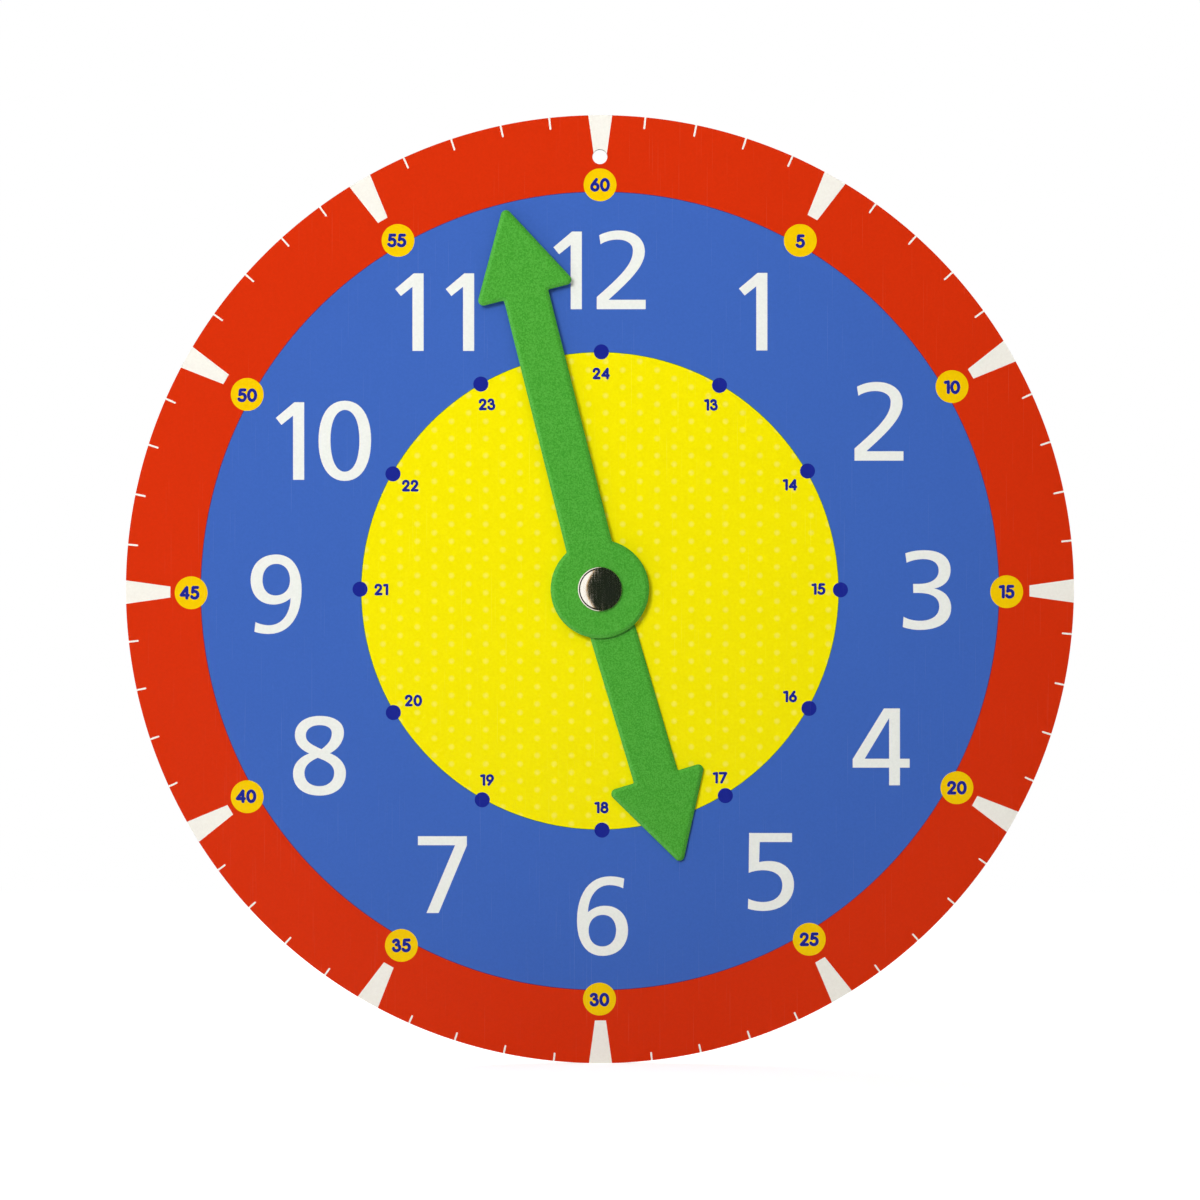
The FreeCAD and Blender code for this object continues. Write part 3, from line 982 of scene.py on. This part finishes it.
def pressed_greyboard():
    """Return the die-cut edge of greyboard: layered fibres with dark flecks."""
    material, tree, shader, place = start_finish("die_cut_greyboard", Roughness=0.92)
    layered = add_node(tree, "ShaderNodeMapping", {
        "Vector": place, "Scale": (1 / FIBRE_LENGTH, 1 / FIBRE_THICKNESS, 1 / FIBRE_LENGTH)})
    fibres = add_node(tree, "ShaderNodeTexNoise", {
        "Vector": layered.outputs["Vector"], "Scale": 1.0, "Detail": 5.0, "Roughness": 0.65})
    flecks = add_node(tree, "ShaderNodeTexNoise", {
        "Vector": place, "Scale": 1 / FLECK_SIZE, "Detail": 2.0})
    dark = add_node(tree, "ShaderNodeMapRange", {
        "Value": flecks.outputs["Fac"], "From Min": FLECK_PEAKS[0], "From Max": FLECK_PEAKS[1],
        "To Max": FLECK_SHARE})
    pulp = add_node(tree, "ShaderNodeValToRGB", {"Fac": fibres.outputs["Fac"]})
    for stop, position, grey in zip(pulp.color_ramp.elements, FIBRE_SPREAD, ("#8C857A", "#C9C3B6")):
        stop.position, stop.color = position, linear(grey)
    colour = add_node(tree, "ShaderNodeMix", {
        "Factor": dark.outputs["Result"], "A": pulp.outputs["Color"], "B": linear("#5A5853")},
        data_type="RGBA")
    relief = add_node(tree, "ShaderNodeBump", {
        "Height": fibres.outputs["Fac"], "Distance": FIBRE_RELIEF})
    tree.links.new(colour.outputs["Result"], shader.inputs["Base Color"])
    tree.links.new(relief.outputs["Normal"], shader.inputs["Normal"])
    return material


give(board, pressed_greyboard())
print("board finished")

# %% [markdown]
# The papers are calmer. The liner on the back is uncoated, so it has a soft cloudy look against the
# light, and it has picked up a little dirt from hands. The real tooth of such paper is about 0.1 mm
# wide. It is drawn 0.3 mm wide, so that it shows.

# %% Coated paper and liner
CLOUD_SIZE = 2.2
CLOUD_SPREAD = 0.16, 0.36
HANDLING_SIZE = 30.0
TOOTH_SIZE = 0.3
TOOTH_RELIEF = 0.02 * MM


def paper_finish(name, light, dark, roughness):
    """Return paper: a cloudy sheet with a fine tooth, and a little darker where hands held it."""
    material, tree, shader, place = start_finish(name, Roughness=roughness)
    cloud = add_node(tree, "ShaderNodeTexNoise", {
        "Vector": place, "Scale": 1 / CLOUD_SIZE, "Detail": 6.0, "Roughness": 0.6})
    held = add_node(tree, "ShaderNodeTexNoise", {
        "Vector": place, "Scale": 1 / HANDLING_SIZE, "Detail": 3.0})
    both = add_node(tree, "ShaderNodeMath", {0: cloud.outputs["Fac"], 1: held.outputs["Fac"]},
                    operation="MULTIPLY")
    share = add_node(tree, "ShaderNodeMapRange", {
        "Value": both.outputs["Value"], "From Min": CLOUD_SPREAD[0], "From Max": CLOUD_SPREAD[1]})
    colour = add_node(tree, "ShaderNodeMix", {
        "Factor": share.outputs["Result"], "A": linear(dark), "B": linear(light)},
        data_type="RGBA")
    tooth = add_node(tree, "ShaderNodeTexNoise", {
        "Vector": place, "Scale": 1 / TOOTH_SIZE, "Detail": 4.0, "Roughness": 0.7})
    relief = add_node(tree, "ShaderNodeBump", {
        "Height": tooth.outputs["Fac"], "Distance": TOOTH_RELIEF})
    tree.links.new(colour.outputs["Result"], shader.inputs["Base Color"])
    tree.links.new(relief.outputs["Normal"], shader.inputs["Normal"])
    return material


give(paper, paper_finish("coated_print_paper", "#F7F5EE", "#EFEDE5", 0.6))
give(liner, paper_finish("uncoated_liner_paper", "#EFECE4", "#E7E3DA", 0.88))
print("papers finished")

# %% [markdown]
# ## Moulded polypropylene
# The hands are green polypropylene. The mould was spark eroded, which leaves a fine even grain that
# kills the shine on the flats. Under a low light the grain breaks the green into lighter and darker
# specks. Here those specks are painted into the colour with the coarse grain, as painted shade and
# highlight, over the grain's real relief. The true grain is about 0.1 mm wide. Here it is drawn
# 0.16 mm wide, with a coarser one of 0.3 mm under it, so that it still shows when the whole clock is
# in view.

# %% Green plastic with a spark-eroded grain
GRAIN_SIZE, GRAIN_RELIEF = 0.16, 0.03 * MM
COARSE_GRAIN_SIZE, COARSE_GRAIN_RELIEF = 0.3, 0.05 * MM
GRAIN_SHADE_SPREAD = 0.4, 0.62
HAND_ROUGHNESS = 0.34, 0.58


def grained_polypropylene():
    """Return moulded green plastic: two grains of noise in roughness and relief, and the coarse one
    also in the colour as painted grain shade.
    """
    material, tree, shader, place = start_finish("spark_grained_polypropylene", IOR=1.49)
    coarse = add_node(tree, "ShaderNodeTexNoise", {
        "Vector": place, "Scale": 1 / COARSE_GRAIN_SIZE, "Detail": 3.0, "Roughness": 0.65})
    fine = add_node(tree, "ShaderNodeTexNoise", {
        "Vector": place, "Scale": 1 / GRAIN_SIZE, "Detail": 2.0, "Roughness": 0.6})
    # The coarse grain makes the green lighter and darker: painted shade and highlight of the grain.
    green = add_node(tree, "ShaderNodeValToRGB", {"Fac": coarse.outputs["Fac"]})
    for stop, position, tone in zip(green.color_ramp.elements, GRAIN_SHADE_SPREAD, ("#3B9924", "#58B23F")):
        stop.position, stop.color = position, linear(tone)
    rough = add_node(tree, "ShaderNodeMapRange", {
        "Value": fine.outputs["Fac"], "To Min": HAND_ROUGHNESS[0], "To Max": HAND_ROUGHNESS[1]})
    low = add_node(tree, "ShaderNodeBump", {
        "Height": coarse.outputs["Fac"], "Distance": COARSE_GRAIN_RELIEF})
    high = add_node(tree, "ShaderNodeBump", {
        "Height": fine.outputs["Fac"], "Distance": GRAIN_RELIEF, "Normal": low.outputs["Normal"]})
    tree.links.new(green.outputs["Color"], shader.inputs["Base Color"])
    tree.links.new(rough.outputs["Result"], shader.inputs["Roughness"])
    tree.links.new(high.outputs["Normal"], shader.inputs["Normal"])
    return material


hand_finish = grained_polypropylene()
give(hour_hand, hand_finish)
give(minute_hand, hand_finish)
print("hands finished")

# %% [markdown]
# ## Nickel plate
# The caps are pressed steel with bright nickel. Nickel is a slightly warm grey mirror, so most of
# what shows on it is the room. What makes it metal and not glass is the small stuff: specks where
# the plating took up dust, and fine upright lines from polishing. They are rougher than the mirror
# round them, so they catch the bright wall from further off and stand out in the dark half.
# Real polishing lines are about 0.02 mm wide. They are drawn 0.09 mm wide, so that they show.

# %% Bright nickel with specks and polishing lines
SPECK_SIZE = 0.22
POLISH_WIDTH = 0.09
POLISH_LENGTH = 7.0
MARK_SPREAD = 0.22, 0.36
NICKEL_ROUGHNESS = 0.05, 0.34
MARK_RELIEF = 0.0012 * MM


def nickel_plate():
    """Return bright nickel: a mirror with fine specks and upright polishing lines."""
    material, tree, shader, place = start_finish("bright_nickel_plate", Metallic=1.0)
    specks = add_node(tree, "ShaderNodeTexNoise", {
        "Vector": place, "Scale": 1 / SPECK_SIZE, "Detail": 4.0, "Roughness": 0.75})
    upright = add_node(tree, "ShaderNodeMapping", {
        "Vector": place, "Scale": (1 / POLISH_WIDTH, 1 / POLISH_LENGTH, 1 / POLISH_LENGTH)})
    polish = add_node(tree, "ShaderNodeTexNoise", {
        "Vector": upright.outputs["Vector"], "Scale": 1.0, "Detail": 2.0})
    tint = add_node(tree, "ShaderNodeMix", {
        "Factor": specks.outputs["Fac"], "A": linear("#CFC9BD"), "B": linear("#E6E2DA")},
        data_type="RGBA")
    marks = add_node(tree, "ShaderNodeMath", {0: specks.outputs["Fac"], 1: polish.outputs["Fac"]},
                     operation="MULTIPLY")
    rough = add_node(tree, "ShaderNodeMapRange", {
        "Value": marks.outputs["Value"], "From Min": MARK_SPREAD[0], "From Max": MARK_SPREAD[1],
        "To Min": NICKEL_ROUGHNESS[0], "To Max": NICKEL_ROUGHNESS[1]})
    relief = add_node(tree, "ShaderNodeBump", {
        "Height": marks.outputs["Value"], "Distance": MARK_RELIEF})
    tree.links.new(tint.outputs["Result"], shader.inputs["Base Color"])
    tree.links.new(rough.outputs["Result"], shader.inputs["Roughness"])
    tree.links.new(relief.outputs["Normal"], shader.inputs["Normal"])
    return material


nickel = nickel_plate()
for piece in (front_cap, rear_cap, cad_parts["front_socket"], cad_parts["rear_post"]):
    give(piece, nickel)
print("rivet finished")

# %% [markdown]
# ## Washers
# A thin washer of natural acetal lies under each hub. Only its edge can be seen, and only from the
# side. Natural acetal is a milky white that lets a little light in, so a weak subsurface is enough.

# %% Natural acetal
MILK_SIZE = 1.4
ACETAL_ROUGHNESS = 0.35, 0.5


def natural_acetal():
    """Return milky white acetal with a faint cloud in it and a turned, satin skin."""
    material, tree, shader, place = start_finish("natural_acetal", IOR=1.48, Subsurface_Weight=0.15,
                                                 Subsurface_Scale=0.6 * MM)
    cloud = add_node(tree, "ShaderNodeTexNoise", {
        "Vector": place, "Scale": 1 / MILK_SIZE, "Detail": 3.0})
    milk = add_node(tree, "ShaderNodeMix", {
        "Factor": cloud.outputs["Fac"], "A": linear("#E2E1DA"), "B": linear("#F3F2EC")},
        data_type="RGBA")
    rough = add_node(tree, "ShaderNodeMapRange", {
        "Value": cloud.outputs["Fac"], "To Min": ACETAL_ROUGHNESS[0],
        "To Max": ACETAL_ROUGHNESS[1]})
    tree.links.new(milk.outputs["Result"], shader.inputs["Base Color"])
    tree.links.new(rough.outputs["Result"], shader.inputs["Roughness"])
    return material


acetal = natural_acetal()
for node in ("hour_washer", "minute_washer"):
    give(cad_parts[node], acetal)
print("washers finished")

# %% [markdown]
# ## The floor
# The clock stands on its edge on a pale floor. To a camera the floor fades into the white behind
# it: near the clock it is matt and takes the shadow, and further out it turns to plain white.
# The white is given to camera rays alone, so it puts no more light on the clock.

# %% Lay the floor
FLOOR_RADIUS, FLOOR_STEPS = 3.0, 96
FADE_START, FADE_END = 0.25, 0.9
FLOOR_GLOW = 0.61


def pale_floor():
    """Return the floor's material: matt near the clock, white to the camera further out."""
    material = bpy.data.materials.new("pale_floor")
    material.use_nodes = True
    tree = material.node_tree
    tree.nodes.remove(tree.nodes["Principled BSDF"])
    own = add_node(tree, "ShaderNodeTexCoord")
    reach = add_node(tree, "ShaderNodeVectorMath", {0: own.outputs["Object"], 1: (1, 1, 0)},
                     operation="MULTIPLY")
    length = add_node(tree, "ShaderNodeVectorMath", {0: reach.outputs["Vector"]},
                      operation="LENGTH")
    far = add_node(tree, "ShaderNodeMapRange", {
        "Value": length.outputs["Value"], "From Min": FADE_START, "From Max": FADE_END},
        interpolation_type="SMOOTHSTEP")
    sight = add_node(tree, "ShaderNodeLightPath").outputs["Is Camera Ray"]
    near_glow = add_node(tree, "ShaderNodeMath", {0: sight, 1: FLOOR_GLOW}, operation="MULTIPLY")
    matt = add_node(tree, "ShaderNodeBsdfDiffuse", {"Color": linear("#E8E8E8")})
    glow = add_node(tree, "ShaderNodeEmission", {
        "Color": linear("#FFFFFF"), "Strength": near_glow.outputs["Value"]})
    near = add_node(tree, "ShaderNodeAddShader", {0: matt.outputs[0], 1: glow.outputs[0]})
    white = add_node(tree, "ShaderNodeEmission", {"Color": linear("#FFFFFF"), "Strength": 1.0})
    seen_far = add_node(tree, "ShaderNodeMath", {0: far.outputs["Result"], 1: sight},
                        operation="MULTIPLY")
    mixed = add_node(tree, "ShaderNodeMixShader", {
        0: seen_far.outputs["Value"], 1: near.outputs[0], 2: white.outputs[0]})
    tree.links.new(mixed.outputs[0], tree.nodes["Material Output"].inputs["Surface"])
    return material


floor_z = cad_box[0].z
ring = np.hstack([circle(FLOOR_RADIUS, FLOOR_STEPS), np.full((FLOOR_STEPS, 1), floor_z)])
floor_mesh = bpy.data.meshes.new("floor")
floor_mesh.from_pydata(ring.tolist(), [], [list(range(FLOOR_STEPS))])
floor = bpy.data.objects.new("floor", floor_mesh)
bpy.context.scene.collection.objects.link(floor)
floor_mesh.materials.append(pale_floor())
floor.visible_glossy = False
print("floor at", round(floor_z, 4), "m")

# %% [markdown]
# ## Light
# The picture was made with soft light from the upper left: every shadow on the dial fades within a
# millimetre or two, and the dial is a quarter brighter at its top than at its lower right. A lamp
# quite near gives both. A lamp further to the side casts no shadow and only brightens the slopes of
# the hands. One close above lifts the top of the dial, one behind lights the back, and a weak light
# from all sides keeps the shadows open.
# A mirror needs more thought: the cap shows whatever stands in front of it. There the room is dark,
# and a bright wall stands to the left, which draws the crescent on the cap. The lamps stay out of
# mirrors, because the bright wall is what they are meant to show.

# %% Set the room
SURROUND = 0.09
BRIGHT_WALL = 1.45
WALL_EDGE = -0.555
WALL_EDGE_BOW = 0.61
WALL_SOFTNESS = 0.09
WALL_COLOURS = (0.0, "#20271E"), (0.35, "#3A3626"), (0.6, "#C9A878"), (0.85, "#FFFFFF")
BACK_HEIGHTS, BACK_COLOURS = (-0.5, 0.4), ("#7C7C7A", "#E4E4E4")
BACK_FADE = 0.0, 0.2


def room():
    """Return the world: white to the camera, an even light to matt surfaces, and a dark room with
    a bright left wall to mirrors.

    A mirror's ray goes in direction (x, y, z), and for a world the object coordinates are that
    direction. The wall begins where x falls below its edge, which bows to the right by the square
    of z and stops at the middle. Behind the dial the room is pale above and greyer below.
    """
    world = bpy.data.worlds.new("room")
    world.use_nodes = True
    bpy.context.scene.world = world
    tree = world.node_tree
    direction = add_node(tree, "ShaderNodeTexCoord").outputs["Object"]
    axes = add_node(tree, "ShaderNodeSeparateXYZ", {0: direction}).outputs
    height = add_node(tree, "ShaderNodeMath", {0: axes["Z"], 1: axes["Z"]}, operation="MULTIPLY")
    bowed = add_node(tree, "ShaderNodeMath", {
        0: height.outputs["Value"], 1: WALL_EDGE_BOW, 2: WALL_EDGE}, operation="MULTIPLY_ADD")
    edge = add_node(tree, "ShaderNodeMath", {0: bowed.outputs["Value"], 1: 0.0},
                    operation="MINIMUM")
    past = add_node(tree, "ShaderNodeMath", {0: edge.outputs["Value"], 1: axes["X"]},
                    operation="SUBTRACT")
    wall = add_node(tree, "ShaderNodeMapRange", {
        "Value": past.outputs["Value"], "From Min": -WALL_SOFTNESS, "From Max": WALL_SOFTNESS})
    front = add_node(tree, "ShaderNodeValToRGB", {"Fac": wall.outputs["Result"]})
    while len(front.color_ramp.elements) < len(WALL_COLOURS):
        front.color_ramp.elements.new(1.0)
    for element, (position, colour) in zip(front.color_ramp.elements, WALL_COLOURS):
        element.position, element.color = position, linear(colour)
    above = add_node(tree, "ShaderNodeMapRange", {
        "Value": axes["Z"], "From Min": BACK_HEIGHTS[0], "From Max": BACK_HEIGHTS[1]})
    back = add_node(tree, "ShaderNodeMix", {
        "Factor": above.outputs["Result"], "A": linear(BACK_COLOURS[0]),
        "B": linear(BACK_COLOURS[1])}, data_type="RGBA")
    behind = add_node(tree, "ShaderNodeMapRange", {
        "Value": axes["Y"], "From Min": BACK_FADE[0], "From Max": BACK_FADE[1]})
    mirror = add_node(tree, "ShaderNodeMix", {
        "Factor": behind.outputs["Result"], "A": front.outputs["Color"],
        "B": back.outputs["Result"]}, data_type="RGBA")
    sight = add_node(tree, "ShaderNodeLightPath").outputs
    matt = add_node(tree, "ShaderNodeMix", {
        "Factor": sight["Is Glossy Ray"], "A": SURROUND, "B": BRIGHT_WALL})
    level = add_node(tree, "ShaderNodeMix", {
        "Factor": sight["Is Camera Ray"], "A": matt.outputs["Result"], "B": 1.0})
    colour = add_node(tree, "ShaderNodeMix", {
        "Factor": sight["Is Glossy Ray"], "A": linear("#FFFFFF"), "B": mirror.outputs["Result"]},
        data_type="RGBA")
    tree.links.new(level.outputs["Result"], tree.nodes["Background"].inputs["Strength"])
    tree.links.new(colour.outputs["Result"], tree.nodes["Background"].inputs["Color"])


room()
print("the bright wall has", len(WALL_COLOURS), "tones from the dark room to white")

# %% Hang the lamps
def hang_lamp(name, direction, distance, size, power, shadow=True):
    """Hang a square lamp in a direction from the dial's middle, facing it and unseen by mirrors.

    Blender can also find a lamp by chance, when a bounced ray runs into it, and that would bring a
    little of its mirror image back. Turning off multiple importance sampling stops this.
    """
    middle = Vector((PIVOT_X, 0, PIVOT_Z)) * MM
    light = bpy.data.lights.new(name, "AREA")
    light.shape = "SQUARE"
    light.size = size
    light.energy = power
    light.use_shadow = shadow
    light.cycles.use_multiple_importance_sampling = False
    lamp = bpy.data.objects.new(name, light)
    towards = Vector(direction).normalized()
    lamp.location = middle + towards * distance
    lamp.rotation_euler = (-towards).to_track_quat("-Z", "Y").to_euler()
    lamp.visible_glossy = False
    bpy.context.scene.collection.objects.link(lamp)
    return lamp


lamps = [hang_lamp("front_lamp", (-0.27, -0.91, 0.29), distance=0.85, size=0.25, power=4.1),
         hang_lamp("side_lamp", (-0.88, -0.47, 0.10), distance=1.6, size=0.5, power=3.0,
                   shadow=False),
         hang_lamp("top_lamp", (0.0, -0.76, 0.65), distance=0.34, size=0.3, power=0.233),
         hang_lamp("back_lamp", (-0.35, 0.80, 0.45), distance=1.0, size=0.9, power=9.6)]
for lamp in lamps:
    print(lamp.name, "at", [round(value, 3) for value in lamp.location])

# %% [markdown]
# ## The camera
# The picture looks squarely at the dial, from so far that the hands hide no more of it than they
# would in a drawing. A long lens does the same. Its distance follows from the width of the picture:
# distance is to width as focal length is to sensor. The dial's middle sits a little above the
# picture's middle, so the camera stands that much lower than the rivet.

# %% Set the camera
LENS, SENSOR = 200.0, 36.0
PICTURE_WIDTH = 265.8
AIM_X, AIM_BELOW_RIVET = 0.02, 2.4

distance = PICTURE_WIDTH * LENS / SENSOR + paper_front
camera_data = bpy.data.cameras.new("camera")
camera_data.lens = LENS
camera_data.sensor_width = SENSOR
camera = bpy.data.objects.new("camera", camera_data)
camera.location = Vector((AIM_X, -distance, PIVOT_Z - AIM_BELOW_RIVET)) * MM
camera.rotation_euler = (math.pi / 2, 0, 0)
bpy.context.scene.collection.objects.link(camera)
bpy.context.scene.camera = camera
bpy.context.scene.view_settings.view_transform = "Standard"
print("camera", round(distance), "mm from the dial's back")
